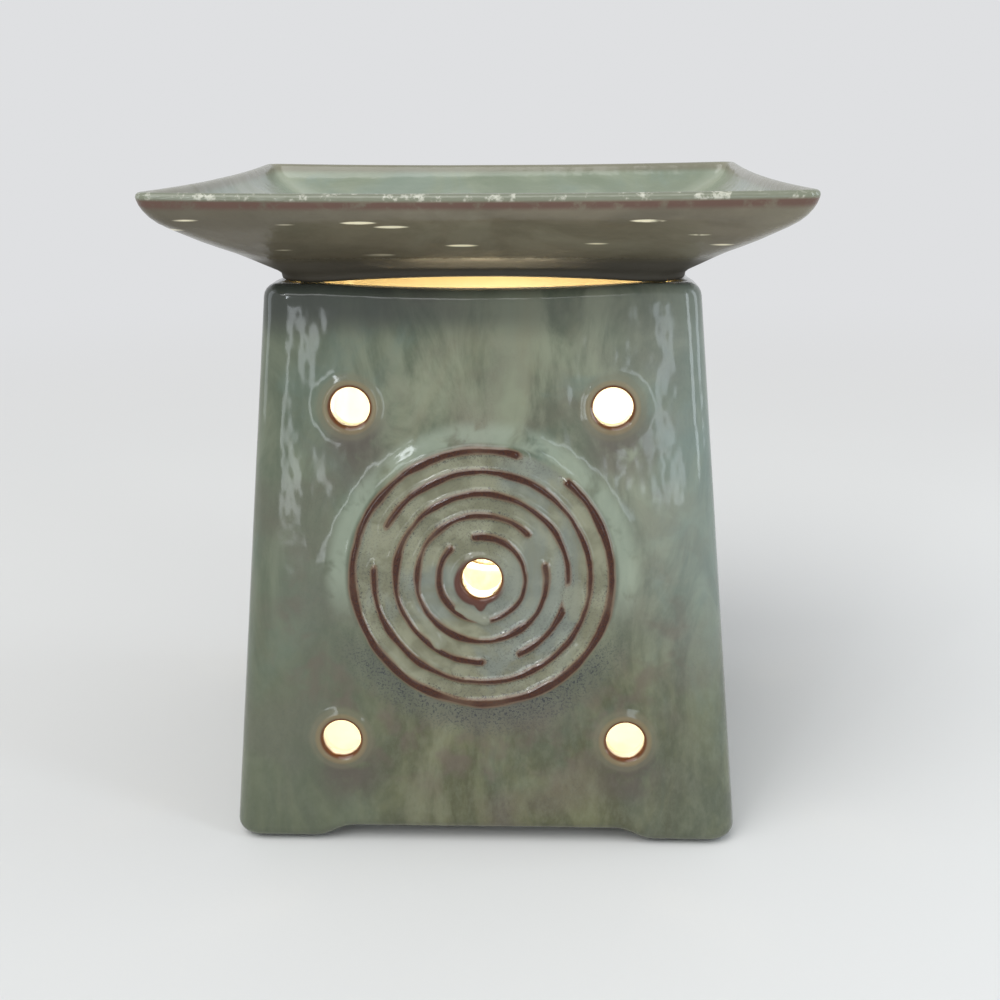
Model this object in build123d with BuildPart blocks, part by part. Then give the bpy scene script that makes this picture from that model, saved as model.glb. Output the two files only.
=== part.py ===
from build123d import *
import os
from math import atan, cos, hypot, radians, sin

# A wax melt warmer: a tapered square ceramic housing, pierced and ringed with relief,
# a small globe lamp standing inside it, and a loose square dish that rests on its rim.
# Millimetres, +Z up, origin in the middle of the base at table level, front towards -Y.

os.makedirs("parts", exist_ok=True)

# Housing
body_base = 130.0
body_top = 106.0
body_height = 141.5
wall = 5.0
rim_wall = 6.5
upright_radius = 7.0
hollow_radius = 4.0
shoulder_radius = 3.5
rim_edge_radius = 0.8
toe_radius = 3.0
floor_height = 8.0
floor_thickness = 6.0
skirt_wall = 9.0
recess_radius = 16.0
rim_dip = 2.0
rim_dip_span = 77.0

# Feet and the arches between them
arch_span = 68.0
arch_rise = 3.0
arch_slope = 9.5
arch_radius = 14.0
foot_pad_radius = 4.5
foot_pad_thickness = 2.0
foot_pad_proud = 0.8
foot_pad_inset = 9.5

# Relief on each side: a low round pad, five broken rings, a lip round the middle hole
relief_height = 70.0
relief_radius = 35.5
relief_rise = 0.8
ring_pitch = 5.36
ring_width = 2.0
ring_rise = 0.9
ring_gaps = [(99, 136), (12, 45), (270, 296), (151, 175), (49, 74)]
draft = 20
first_ring_share = 2

# Light holes: one in the middle of the rings and four towards the corners
hole_radius = 4.9
lip_width = 1.3
collar_radius = 8.0
collar_rise = 0.6
hole_spread = 34.0
hole_reach = 42.5

# Cord inlet in the back wall, with its rubber bush
inlet_height = 26.0
inlet_radius = 4.5
bush_flange = 2.2
bush_lip = 1.6
bush_bore = 2.9

# Dish
dish_width = 152.0
dish_foot_margin = 3.0
dish_height = 23.2
dish_floor = 5.0
dish_floor_inset = 4.0
dish_lip = 3.4
dish_bow = 1.6
dish_rim_dip = 0.8
dish_corner_radius = 3.5
dish_foot_radius = 9.0
dish_foot_band = 1.6
dish_foot_edge = 0.6
dish_arch = 0.8
dish_arch_span = 78.0
stud_radius = 3.0
stud_length = 4.0
stud_clearance = 1.5
dish_profile_shares = [(0, 0), (0.40, 0.31), (0.77, 0.58), (0.94, 0.77), (1, 1)]
dish_lip_round_share = 0.35

# Lamp holder and its fixing
nipple_radius = 4.8
nipple_bore = 3.3
nipple_end = 1.5
washer_radius = 9.5
washer_thickness = 1.0
nut_flats = 15.0
nut_thickness = 3.5
holder_radius = 12.5
holder_wall = 1.6
holder_base_height = 10.0
holder_base_floor = 3.0
outlet_radius = 3.9
outlet_bore = 2.5
outlet_reach = 4.5
barrel_radius = 10.0
collar_height = 6.0
collar_slope = 2.5
barrel_height = 27.0
spigot_length = 2.0
partition_height = 3.5
partition_thickness = 3.0
shell_bore = 6.3
shell_wall = 0.4
shell_height = 20.0
shell_flange = 0.5
shell_opening = 4.3
contact_thickness = 0.5
contact_width = 4.0
contact_reach = 3.4
contact_rise = 3.8
contact_bend = 0.6
screw_radius = 0.9
screw_head_radius = 1.9
screw_head_height = 1.5
contact_screw_offset = 2.2
shell_screw_offset = 5.5

# Bulb
cap_radius = 5.95
cap_wall = 0.3
cap_height = 14.5
cap_taper = 1.0
tip_radius = 2.0
tip_height = 1.0
insulator_height = 2.2
insulator_radius = 4.9
glass_wall = 0.7
neck_radius = 5.3
neck_in_cap = 4.0
neck_rise = 1.5
bulb_length = 74.0
globe_share = 0.324
globe_start_angle = -52
stem_radius = 2.2
stem_rise = 17.0
stem_foot = 3.0
lead_radius = 0.35
lead_spread = 9.0
lead_start = 1.1
lead_rise = 11.0
filament_radius = 0.3
filament_bow = 2.0
support_radius = 0.25

# Fits
fit_clearance = 0.05
bush_clearance = 0.15
seat_gap = 0.2
contact_gap = 0.3
bite = 0.4
overrun = 4.0

# Heights that follow from the sizes above
foot_z = foot_pad_proud
floor_z = foot_z + floor_height
floor_top = floor_z + floor_thickness
rim_z = foot_z + body_height
dish_z = rim_z + seat_gap
dish_foot = body_top - 2 * dish_foot_margin
holder_z = floor_top + washer_thickness + nut_thickness
barrel_z = holder_z + holder_base_height
partition_z = barrel_z + partition_height
socket_z = partition_z + partition_thickness
tip_z = socket_z + contact_rise + contact_gap
cap_z = tip_z + tip_height + insulator_height
cap_top = cap_z + cap_height
globe_radius = bulb_length * globe_share
globe_z = tip_z + bulb_length - globe_radius
stem_top = cap_top + stem_rise
lean = atan((body_base - body_top) / 2 / body_height)


def half_width(height):
    """Half the housing's outer width at a height above its feet."""
    return body_base / 2 - (body_base - body_top) / 2 * height / body_height


def hollow_half(height):
    """Half the hollow's width at a height above the feet: the wall thickens to the rim."""
    low = floor_height + floor_thickness
    low_half = half_width(low) - wall
    rim_half = body_top / 2 - rim_wall
    return low_half + (rim_half - low_half) * (height - low) / (body_height - low)


def side_plane(turn, height, rise=0):
    """Plane on one side of the housing; turn 0 is the front, rise lifts it off the side."""
    outward = Vector(0, -cos(lean), sin(lean)).rotate(Axis.Z, turn)
    point = Vector(0, -half_width(height), foot_z + height).rotate(Axis.Z, turn)
    along = Vector(1, 0, 0).rotate(Axis.Z, turn)
    return Plane(origin=point + outward * rise, x_dir=along, z_dir=outward)


def corner_holes():
    """Places of the four outer holes on the relief's plane; they follow the taper."""
    places = []
    for up in (-1, 1):
        height = relief_height + up * hole_reach * cos(lean)
        spread = hole_spread * half_width(height) / half_width(relief_height)
        places += [(-spread, up * hole_reach), (spread, up * hole_reach)]
    return places


def dip_profile(plane, span, dip, level, outer):
    """A shallow arc of the given span, cut into a level edge from the side of outer."""
    with BuildSketch(plane) as profile:
        with BuildLine():
            ThreePointArc((-span / 2, level), (0, level - dip), (span / 2, level))
            Polyline((span / 2, level), (span / 2, outer), (-span / 2, outer), (-span / 2, level))
        make_face()
    return profile.sketch


rings = []
for order, (gap_start, gap_end) in enumerate(ring_gaps):
    ring_radius = ring_pitch * (order + first_ring_share)
    rings.append(CenterArc((0, 0), ring_radius, gap_end, 360 - gap_end + gap_start))

with BuildPart() as relief:
    # Everything raised on the front; each form bites a little into what it stands on.
    with BuildSketch(side_plane(0, relief_height, -bite)):
        Circle(relief_radius)
    extrude(amount=bite + relief_rise, taper=draft)
    with BuildSketch(side_plane(0, relief_height, -bite)):
        with Locations(corner_holes()):
            Circle(collar_radius)
    extrude(amount=bite + collar_rise, taper=draft)
    with BuildSketch(side_plane(0, relief_height, relief_rise - bite)):
        for ring in rings:
            SlotArc(ring, ring_width)
        Circle(hole_radius + lip_width)
    extrude(amount=bite + ring_rise, taper=draft)

with BuildPart() as housing:
    for level, width in ((foot_z, body_base), (rim_z, body_top)):
        with BuildSketch(Plane.XY.offset(level)):
            RectangleRounded(width, width, upright_radius)
    loft(ruled=True)
    fillet(housing.faces().sort_by(Axis.Z)[-1].edges(), shoulder_radius)
    fillet(housing.faces().sort_by(Axis.Z)[0].edges(), toe_radius)

    # The same relief stands on all four sides.
    add([relief.part.rotate(Axis.Z, turn) for turn in range(0, 360, 90)])

    # The hollow above the floor, and the recess under it.
    low = floor_height + floor_thickness
    for height in (low, body_height + overrun):
        with BuildSketch(Plane.XY.offset(foot_z + height)):
            RectangleRounded(2 * hollow_half(height), 2 * hollow_half(height), hollow_radius)
    loft(ruled=True, mode=Mode.SUBTRACT)
    with BuildSketch(Plane.XY.offset(foot_z)):
        RectangleRounded(body_base - 2 * skirt_wall, body_base - 2 * skirt_wall, recess_radius)
    extrude(amount=floor_height, mode=Mode.SUBTRACT)
    rim_face = housing.faces().filter_by(Axis.Z).sort_by(Axis.Z)[-1]
    fillet(rim_face.inner_wires()[0].edges(), rim_edge_radius)

    # The rim dips between its corners, and arches part the feet, on all four sides.
    for cross in (Plane.XZ, Plane.YZ):
        dip = dip_profile(cross, rim_dip_span, rim_dip, rim_z, rim_z + overrun)
        extrude(dip, amount=body_base, both=True, mode=Mode.SUBTRACT)
        with BuildSketch(cross) as arch:
            with BuildLine():
                Polyline(
                    (-arch_span / 2 - arch_slope, foot_z - overrun),
                    (-arch_span / 2 - arch_slope, foot_z),
                    (-arch_span / 2, foot_z + arch_rise),
                    (arch_span / 2, foot_z + arch_rise),
                    (arch_span / 2 + arch_slope, foot_z),
                    (arch_span / 2 + arch_slope, foot_z - overrun),
                    close=True,
                )
            make_face()
            fillet(arch.vertices().group_by(Axis.Y)[-1], arch_radius)
        extrude(amount=body_base, both=True, mode=Mode.SUBTRACT)

    # Light holes on every side, and the cord inlet in the back.
    hole_start = relief_rise + ring_rise + overrun
    for turn in range(0, 360, 90):
        with BuildSketch(side_plane(turn, relief_height, hole_start)):
            with Locations((0, 0), *corner_holes()):
                Circle(hole_radius)
    extrude(amount=-hole_start - 2 * rim_wall, mode=Mode.SUBTRACT)
    with BuildSketch(side_plane(180, inlet_height, overrun)):
        Circle(inlet_radius)
    extrude(amount=-overrun - 2 * wall, mode=Mode.SUBTRACT)

    # The hole for the nipple and the pockets for the foot pads.
    with BuildSketch(Plane.XY.offset(floor_z)):
        Circle(nipple_radius + fit_clearance)
    extrude(amount=floor_thickness, mode=Mode.SUBTRACT)
    pad_place = body_base - 2 * foot_pad_inset
    with BuildSketch(Plane.XY.offset(foot_z)):
        with GridLocations(pad_place, pad_place, 2, 2):
            Circle(foot_pad_radius + fit_clearance)
    extrude(amount=foot_pad_thickness - foot_pad_proud, mode=Mode.SUBTRACT)
housing.part.label = "housing"
export_step(housing.part, "parts/housing.step")

for number, place in enumerate(GridLocations(pad_place, pad_place, 2, 2), start=1):
    with BuildPart() as foot_pad:
        with BuildSketch(Plane.XY):
            with Locations(place.position):
                Circle(foot_pad_radius)
        extrude(amount=foot_pad_thickness)
    foot_pad.part.label = f"foot_pad_{number}"
    export_step(foot_pad.part, f"parts/foot_pad_{number}.step")

with BuildPart() as cord_grommet:
    inlet_wall = (half_width(inlet_height) - hollow_half(inlet_height)) * cos(lean)
    inside = -inlet_wall - bush_clearance
    with BuildSketch(side_plane(180, inlet_height, inside - bush_lip)):
        Circle(inlet_radius - fit_clearance)
    extrude(amount=bush_lip - inside + bush_clearance)
    for start in (inside - bush_lip, bush_clearance):
        with BuildSketch(side_plane(180, inlet_height, start)):
            Circle(inlet_radius + bush_flange)
        extrude(amount=bush_lip)
    with BuildSketch(side_plane(180, inlet_height, inside - bush_lip)):
        Circle(bush_bore)
    extrude(amount=2 * bush_lip - inside + bush_clearance, mode=Mode.SUBTRACT)
cord_grommet.part.label = "cord_grommet"
export_step(cord_grommet.part, "parts/cord_grommet.step")


def dish_level(half, level, corner):
    """One level outline of the dish: a square whose sides bow inwards a little."""
    bow = dish_bow * half / (dish_width / 2)
    with BuildSketch(Plane.XY.offset(level)) as outline:
        with BuildLine():
            for turn in range(0, 360, 90):
                ends = [Vector(-half, -half), Vector(0, bow - half), Vector(half, -half)]
                ThreePointArc(*[end.rotate(Axis.Z, turn) for end in ends])
        make_face()
        fillet(outline.vertices(), corner)
    return outline.sketch


def dish_levels(foot_half, foot_level, rim_half, rim_level):
    """The outlines from a foot or floor up to the rim, along the dish's profile."""
    levels = []
    for across, up in dish_profile_shares:
        corner = dish_foot_radius + (dish_corner_radius - dish_foot_radius) * across
        half = foot_half + (rim_half - foot_half) * across
        levels.append(dish_level(half, foot_level + (rim_level - foot_level) * up, corner))
    return levels


with BuildPart() as dish:
    top = dish_z + dish_height
    loft(dish_levels(dish_foot / 2, dish_z + dish_foot_band, dish_width / 2, top))
    extrude(dish.faces().sort_by(Axis.Z)[0], amount=dish_foot_band)
    fillet(dish.faces().sort_by(Axis.Z)[0].edges(), dish_foot_edge)
    inner_foot = dish_foot / 2 - dish_floor_inset
    inner_rim = dish_width / 2 - dish_lip
    loft(dish_levels(inner_foot, dish_z + dish_floor, inner_rim, top), mode=Mode.SUBTRACT)

    # The rim sweeps up to its corners, so it is trimmed by a very large ball.
    middle = dish_width / 2 - dish_bow
    ball_radius = (hypot(dish_width / 2, dish_width / 2) ** 2 - middle**2) / 2 / dish_rim_dip
    with Locations((0, 0, top - dish_rim_dip - middle**2 / 2 / ball_radius + ball_radius)):
        Sphere(ball_radius, mode=Mode.SUBTRACT)
    lip = dish.faces().sort_by(Axis.Z)[-1]
    lip_edges = lip.edges().filter_by(GeomType.CIRCLE, reverse=True)
    fillet(lip_edges, dish_lip * dish_lip_round_share)

    # The underside arches between its corners, where the light gap shows.
    for cross in (Plane.XZ, Plane.YZ):
        dip = dip_profile(cross, dish_arch_span, -dish_arch, dish_z, dish_z - overrun)
        extrude(dip, amount=dish_width, both=True, mode=Mode.SUBTRACT)

    # Four corner studs drop inside the housing's rim and keep the dish from sliding off.
    stud_place = body_top - 2 * (rim_wall + stud_clearance + stud_radius)
    with BuildSketch(Plane.XY.offset(dish_z - stud_length)):
        with GridLocations(stud_place, stud_place, 2, 2):
            Circle(stud_radius)
    extrude(amount=stud_length + dish_floor / 2)
dish.part.label = "dish"
export_step(dish.part, "parts/dish.step")

with BuildPart() as nipple:
    nipple_low = floor_z - washer_thickness - nut_thickness - nipple_end
    with BuildSketch(Plane.XY.offset(nipple_low)):
        Circle(nipple_radius)
        Circle(nipple_bore, mode=Mode.SUBTRACT)
    extrude(amount=holder_z + holder_base_floor - nipple_low)
nipple.part.label = "nipple"
export_step(nipple.part, "parts/nipple.step")

clamps = {"upper": floor_top, "lower": floor_z - washer_thickness}
for side, level in clamps.items():
    with BuildPart() as washer:
        with BuildSketch(Plane.XY.offset(level)):
            Circle(washer_radius)
            Circle(nipple_radius + fit_clearance, mode=Mode.SUBTRACT)
        extrude(amount=washer_thickness)
    washer.part.label = f"washer_{side}"
    export_step(washer.part, f"parts/washer_{side}.step")
    nut_level = level + washer_thickness if side == "upper" else level - nut_thickness
    with BuildPart() as lock_nut:
        with BuildSketch(Plane.XY.offset(nut_level)):
            RegularPolygon(nut_flats / 2, 6, major_radius=False)
            Circle(nipple_radius + fit_clearance, mode=Mode.SUBTRACT)
        extrude(amount=nut_thickness)
    lock_nut.part.label = f"lock_nut_{side}"
    export_step(lock_nut.part, f"parts/lock_nut_{side}.step")

with BuildPart() as holder_base:
    with BuildSketch(Plane.XY.offset(holder_z)):
        Circle(holder_radius)
    extrude(amount=holder_base_height)
    fillet(holder_base.faces().sort_by(Axis.Z)[0].edges(), holder_wall)
    # The side outlet for the wires points to the cord inlet in the back wall.
    outlet_z = holder_z + holder_base_floor + outlet_bore + fit_clearance
    outlet_plane = Plane(origin=(0, 0, outlet_z), x_dir=(1, 0, 0), z_dir=(0, 1, 0))
    with BuildSketch(outlet_plane):
        Circle(outlet_radius)
    extrude(amount=holder_radius + outlet_reach)
    with BuildSketch(Plane.XY.offset(holder_z + holder_base_floor)):
        Circle(holder_radius - holder_wall)
    extrude(amount=holder_base_height, mode=Mode.SUBTRACT)
    with BuildSketch(outlet_plane):
        Circle(outlet_bore)
    extrude(amount=holder_radius + outlet_reach, mode=Mode.SUBTRACT)
    with BuildSketch(Plane.XY.offset(holder_z)):
        Circle(nipple_radius + fit_clearance)
    extrude(amount=holder_base_floor, mode=Mode.SUBTRACT)
holder_base.part.label = "holder_base"
export_step(holder_base.part, "parts/holder_base.step")

socket_bore = shell_bore + shell_wall + fit_clearance
spigot_radius = holder_radius - holder_wall - fit_clearance
with BuildPart() as holder_body:
    with BuildSketch(Plane.XZ):
        with BuildLine():
            Polyline(
                (0, partition_z),
                (spigot_radius - holder_wall, partition_z),
                (spigot_radius - holder_wall, barrel_z - spigot_length),
                (spigot_radius, barrel_z - spigot_length),
                (spigot_radius, barrel_z),
                (holder_radius, barrel_z),
                (holder_radius, barrel_z + collar_height),
                (barrel_radius, barrel_z + collar_height + collar_slope),
                (barrel_radius, barrel_z + barrel_height),
                (socket_bore, barrel_z + barrel_height),
                (socket_bore, socket_z),
                (0, socket_z),
                close=True,
            )
        make_face()
    revolve(axis=Axis.Z)
    mouth = holder_body.faces().sort_by(Axis.Z)[-1]
    fillet(mouth.edges().sort_by(SortBy.LENGTH)[-1], rim_edge_radius)
    with BuildSketch(Plane.XY.offset(partition_z)):
        with Locations((-contact_screw_offset, 0), (shell_screw_offset, 0)):
            Circle(screw_radius + fit_clearance)
    extrude(amount=partition_thickness, mode=Mode.SUBTRACT)
holder_body.part.label = "holder_body"
export_step(holder_body.part, "parts/holder_body.step")

with BuildPart() as thread_shell:
    with BuildSketch(Plane.XY.offset(socket_z)):
        Circle(shell_bore + shell_wall)
    extrude(amount=shell_height)
    with BuildSketch(Plane.XY.offset(socket_z + shell_flange)):
        Circle(shell_bore)
    extrude(amount=shell_height, mode=Mode.SUBTRACT)
    with BuildSketch(Plane.XY.offset(socket_z)):
        Circle(shell_opening)
        with Locations((shell_screw_offset, 0)):
            Circle(screw_radius + fit_clearance)
    extrude(amount=shell_flange, mode=Mode.SUBTRACT)
thread_shell.part.label = "thread_shell"
export_step(thread_shell.part, "parts/thread_shell.step")

with BuildPart() as centre_contact:
    # A strip folded back over itself: the foot lies flat, the tongue springs up.
    half_strip = contact_thickness / 2
    with BuildSketch(Plane.XZ):
        with BuildLine():
            FilletPolyline(
                (-contact_reach, socket_z + half_strip),
                (contact_reach - contact_bend, socket_z + half_strip),
                (-contact_reach / 2, socket_z + contact_rise - half_strip),
                (contact_reach / 2, socket_z + contact_rise - half_strip),
                radius=contact_bend,
            )
        trace(line_width=contact_thickness)
    extrude(amount=contact_width / 2, both=True)
    with BuildSketch(Plane.XY.offset(socket_z)):
        with Locations((-contact_screw_offset, 0)):
            Circle(screw_radius + fit_clearance)
    extrude(amount=contact_thickness, mode=Mode.SUBTRACT)
centre_contact.part.label = "centre_contact"
export_step(centre_contact.part, "parts/centre_contact.step")

screws = {
    "contact": (-contact_screw_offset, contact_thickness),
    "shell": (shell_screw_offset, shell_flange),
}
for side, (offset_x, grip) in screws.items():
    with BuildPart() as terminal_screw:
        with BuildSketch(Plane.XY.offset(partition_z)):
            with Locations((offset_x, 0)):
                Circle(screw_radius)
        extrude(amount=partition_thickness + grip)
        with BuildSketch(Plane.XY.offset(partition_z)):
            with Locations((offset_x, 0)):
                Circle(screw_head_radius)
        extrude(amount=-screw_head_height)
    terminal_screw.part.label = f"terminal_screw_{side}"
    export_step(terminal_screw.part, f"parts/terminal_screw_{side}.step")

tip_ball = (tip_radius**2 + tip_height**2) / 2 / tip_height
with BuildPart() as tip_contact:
    with BuildSketch(Plane.XZ):
        with BuildLine():
            RadiusArc((0, tip_z), (tip_radius, tip_z + tip_height), -tip_ball)
            Polyline((tip_radius, tip_z + tip_height), (0, tip_z + tip_height), (0, tip_z))
        make_face()
    revolve(axis=Axis.Z)
tip_contact.part.label = "tip_contact"
export_step(tip_contact.part, "parts/tip_contact.step")

with BuildPart() as cap_insulator:
    with BuildSketch(Plane.XZ):
        with BuildLine():
            Polyline(
                (0, tip_z + tip_height),
                (tip_radius + cap_taper, tip_z + tip_height),
                (insulator_radius - fit_clearance, cap_z),
                (0, cap_z),
                close=True,
            )
        make_face()
    revolve(axis=Axis.Z)
cap_insulator.part.label = "cap_insulator"
export_step(cap_insulator.part, "parts/cap_insulator.step")

with BuildPart() as bulb_cap:
    with BuildSketch(Plane.XZ):
        with BuildLine():
            Polyline(
                (insulator_radius, cap_z - cap_taper / 2),
                (cap_radius, cap_z + cap_taper / 2),
                (cap_radius, cap_top),
                (cap_radius - cap_wall, cap_top),
                (cap_radius - cap_wall, cap_z + cap_taper),
                (tip_radius, cap_z + cap_taper),
                (tip_radius, cap_z),
                (insulator_radius, cap_z),
                close=True,
            )
        make_face()
    revolve(axis=Axis.Z)
bulb_cap.part.label = "bulb_cap"
export_step(bulb_cap.part, "parts/bulb_cap.step")


def globe_profile(inset, low):
    """Half the section of the bulb's glass, drawn in from the outside by inset."""
    radius = globe_radius - inset
    across = radius * cos(radians(globe_start_angle))
    up = globe_z + radius * sin(radians(globe_start_angle))
    neck = neck_radius - inset
    neck_top = cap_top + neck_rise
    slope = (-sin(radians(globe_start_angle)), cos(radians(globe_start_angle)))
    with BuildSketch(Plane.XZ) as profile:
        with BuildLine():
            Polyline((0, globe_z + radius), (0, low), (neck, low), (neck, neck_top))
            Spline((neck, neck_top), (across, up), tangents=[(0, 1), slope])
            CenterArc((0, globe_z), radius, globe_start_angle, 90 - globe_start_angle)
        make_face()
    return profile.sketch


neck_low = cap_top - neck_in_cap
with BuildPart() as bulb_glass:
    revolve(globe_profile(0, neck_low), axis=Axis.Z)
    revolve(globe_profile(glass_wall, neck_low - overrun), axis=Axis.Z, mode=Mode.SUBTRACT)
bulb_glass.part.label = "bulb_glass"
export_step(bulb_glass.part, "parts/bulb_glass.step")

with BuildPart() as glass_stem:
    stem_flare = neck_radius - glass_wall - fit_clearance
    with BuildSketch(Plane.XZ):
        with BuildLine():
            Polyline((0, stem_top), (0, neck_low), (stem_flare, neck_low))
            Polyline((stem_flare, neck_low), (stem_flare, neck_low + glass_wall))
            Spline(
                (stem_flare, neck_low + glass_wall),
                (stem_radius, neck_low + stem_foot + neck_rise),
                tangents=[(-1, 0), (0, 1)],
            )
            Polyline((stem_radius, neck_low + stem_foot + neck_rise), (stem_radius, stem_top))
            Line((stem_radius, stem_top), (0, stem_top))
        make_face()
    revolve(axis=Axis.Z)
glass_stem.part.label = "glass_stem"
export_step(glass_stem.part, "parts/glass_stem.step")

filament_z = stem_top + lead_rise
for side, sign in (("left", -1), ("right", 1)):
    with BuildPart() as lead_wire:
        with BuildLine() as route:
            FilletPolyline(
                (sign * lead_start, 0, stem_top),
                (sign * lead_start, 0, stem_top + lead_start),
                (sign * lead_spread, 0, filament_z),
                radius=lead_start / 2,
            )
        with BuildSketch(Plane(origin=route.line @ 0, z_dir=route.line % 0)):
            Circle(lead_radius)
        sweep(path=route.line)
    lead_wire.part.label = f"lead_wire_{side}"
    export_step(lead_wire.part, f"parts/lead_wire_{side}.step")

with BuildPart() as filament:
    inner = lead_spread - lead_radius
    with BuildLine() as route:
        ThreePointArc(
            (-inner, 0, filament_z + filament_radius),
            (0, 0, filament_z + filament_bow),
            (inner, 0, filament_z + filament_radius),
        )
    with BuildSketch(Plane(origin=route.line @ 0, z_dir=route.line % 0)):
        Circle(filament_radius)
    sweep(path=route.line)
filament.part.label = "filament"
export_step(filament.part, "parts/filament.step")

with BuildPart() as support_wire:
    with BuildSketch(Plane.XY.offset(stem_top)):
        Circle(support_radius)
    extrude(amount=filament_z + filament_bow - filament_radius - stem_top)
support_wire.part.label = "support_wire"
export_step(support_wire.part, "parts/support_wire.step")
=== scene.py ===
from math import atan, atan2, cos, degrees, floor, hypot, pi, radians, sin, tan

import bmesh
import bpy
from mathutils import Matrix, Vector, noise


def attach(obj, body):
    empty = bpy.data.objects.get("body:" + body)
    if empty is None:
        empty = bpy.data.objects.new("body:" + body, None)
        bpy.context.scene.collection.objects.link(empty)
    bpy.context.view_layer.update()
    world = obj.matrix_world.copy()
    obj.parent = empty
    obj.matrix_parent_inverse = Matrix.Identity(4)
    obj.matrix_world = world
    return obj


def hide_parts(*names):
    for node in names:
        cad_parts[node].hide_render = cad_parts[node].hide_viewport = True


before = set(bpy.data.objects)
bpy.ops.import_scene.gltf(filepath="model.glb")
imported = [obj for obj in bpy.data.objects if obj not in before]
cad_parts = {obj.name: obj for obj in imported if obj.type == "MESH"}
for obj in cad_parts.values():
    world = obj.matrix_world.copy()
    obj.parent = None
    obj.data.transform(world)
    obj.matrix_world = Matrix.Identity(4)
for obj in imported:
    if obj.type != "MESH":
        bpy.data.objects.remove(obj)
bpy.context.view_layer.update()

# Shapes are worked out in millimetres and brought to metres once, as each piece is finished.
MM = 0.001

# The housing: a leaning-sided square shell on four low feet.
BASE_HALF = 65.0
TOP_HALF = 53.0
BODY = 141.5
FOOT = 0.8
WALL_LOW = 5.0
WALL_RIM = 6.5
UPRIGHT = 7.0  # radius of the upright corners
HOLLOW_CORNER = 4.0
SHOULDER = 3.5
TOE = 3.0
RIM_EDGE = 0.8
FLOOR_LOW = 8.0
FLOOR_TOP = 14.0
SKIRT_HALF = 56.0
SKIRT_CORNER = 16.0
SKIRT_EDGE = 0.8
RECESS_HALF = 38.0
UNDER_RING = 20.0
FLOOR_RING = 24.0
NIPPLE_HOLE = 4.85
ARCH_RISE = 3.0
ARCH_FLAT = 34.0
ARCH_SLOPE = 9.5
RIM_DIP = 1.3
RIM_DIP_HALF = 38.5
# Nothing nearer the middle than this follows the arches or the dip. The levels after it are those
# between which the arches' lift fades out on the wall and on the skirt, and the dip comes in.
BEND_REACH = 40.0
WALL_FADE = (19.0, 2.0)
SKIRT_FADE = (8.7, 1.7)
DIP_GROWTH = (126.0, 141.0)
LEAN = atan((BASE_HALF - TOP_HALF) / BODY)

# The relief on each side, in side coordinates: s along the side, t up it from the rings' middle.
RELIEF_HEIGHT = 70.0
PAD_RADIUS = 38.6
PAD_SLOPE = 4.4
PAD_RISE = 0.8
# Each ring's radius, and the angles between which it is broken.
RINGS = [
    (10.72, 99, 136),
    (16.08, 12, 45),
    (21.44, 270, 296),
    (26.80, 151, 175),
    (32.16, 49, 74),
]
RING_RISE = 0.9
RING_EDGE = 1.45
RING_HALF_INNER = 1.68
RING_HALF_OUTER = 1.9
# Where thick glaze has run down over the front's rings: start, end and half width. No run goes
# past the outer ring.
RUN_REACH = 34.5
RUNS = [
    ((-17.5, -7.0), (-10.6, -16.4), 1.5),
    ((22.7, -9.5), (22.6, -4.2), 2.9),
    ((23.0, -17.5), (20.4, -21.0), 1.1),
    ((-6.0, -7.5), (0.6, -10.9), 1.3),
]
HOLE = 4.9
COLLAR = 9.4
COLLAR_SLOPE = 3.6
COLLAR_RISE = 0.6
MOUTH = 4.7
MOUTH_SLOPE = 1.3
MOUTH_DROP = 0.6
LIP_START = 4.4
LIP_REACH = 7.2
LIP_SLOPE = 1.6
INLET_HEIGHT = 26.0
INLET = 4.5
INLET_CLEAR = 7.0
INLET_SKIN = 1.5
HOLE_SPREAD = 34.0
HOLE_REACH = 42.5

# The eight-sided seam between the rings' patch and the corner patches: how far its corners lie up
# and across, and the place of the slanting ones.
SEAM_REACH = 46.0
SEAM_CORNER = 28.0
# How many steps the seam has in all, and each other stretch of a corner patch's border.
SEAM_STEPS = 160
MIDLINE_STEPS = 8
TOP_STEPS = 18
LOW_STEPS = 26
EDGE_STEPS = 24
CORNER_TURNS = 6
BEND_STEPS = 5

# The mesh's rings of vertices round the middle hole and round a corner hole, as radii. The rings
# of the relief get these offsets, so that each has a round crest.
MIDDLE_STEPS = [HOLE, 5.05, 5.35, 5.75, 6.2, 6.75, 7.4, 8.0]
RING_OFFSETS = (-2.2, -1.6, -1.15, -0.75, -0.35, 0, 0.35, 0.75, 1.15, 1.6, 2.2)
PAD_STEPS = [34.85, 35.2, 35.6, 36.2]
CORNER_STEPS = [HOLE, 5.05, 5.35, 5.75, 6.2, 6.8, 7.5, 8.3, 9.2, 10.4, 12.0]
PLAIN_MIDDLE_STEPS = [HOLE, 8.0, 16.0, 26.0, 36.0]
PLAIN_CORNER_STEPS = [HOLE, 8.0, 12.0]

# The dish.
DISH_Z = 142.5
DISH_HALF = 76.0
DISH_HEIGHT = 23.2
DISH_BOW = 1.6
DISH_ARCH = 1.2
DISH_ARCH_HALF = 39.0
DISH_ARCH_FADE = 7.0
DISH_RIM_DIP = 0.8
DISH_FLOOR = 5.0
STUD_PLACE = 42.0
STUD_RADIUS = 3.0
STUD_TIP_RADIUS = 2.9
STUD_DEPTH = 6.0
STUD_DROP = 4.0
STUD_EDGE = 0.8
# How many vertices each side and each corner of an outline has.
SIDE_PLACES = 36
TURN_PLACES = 10
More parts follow.
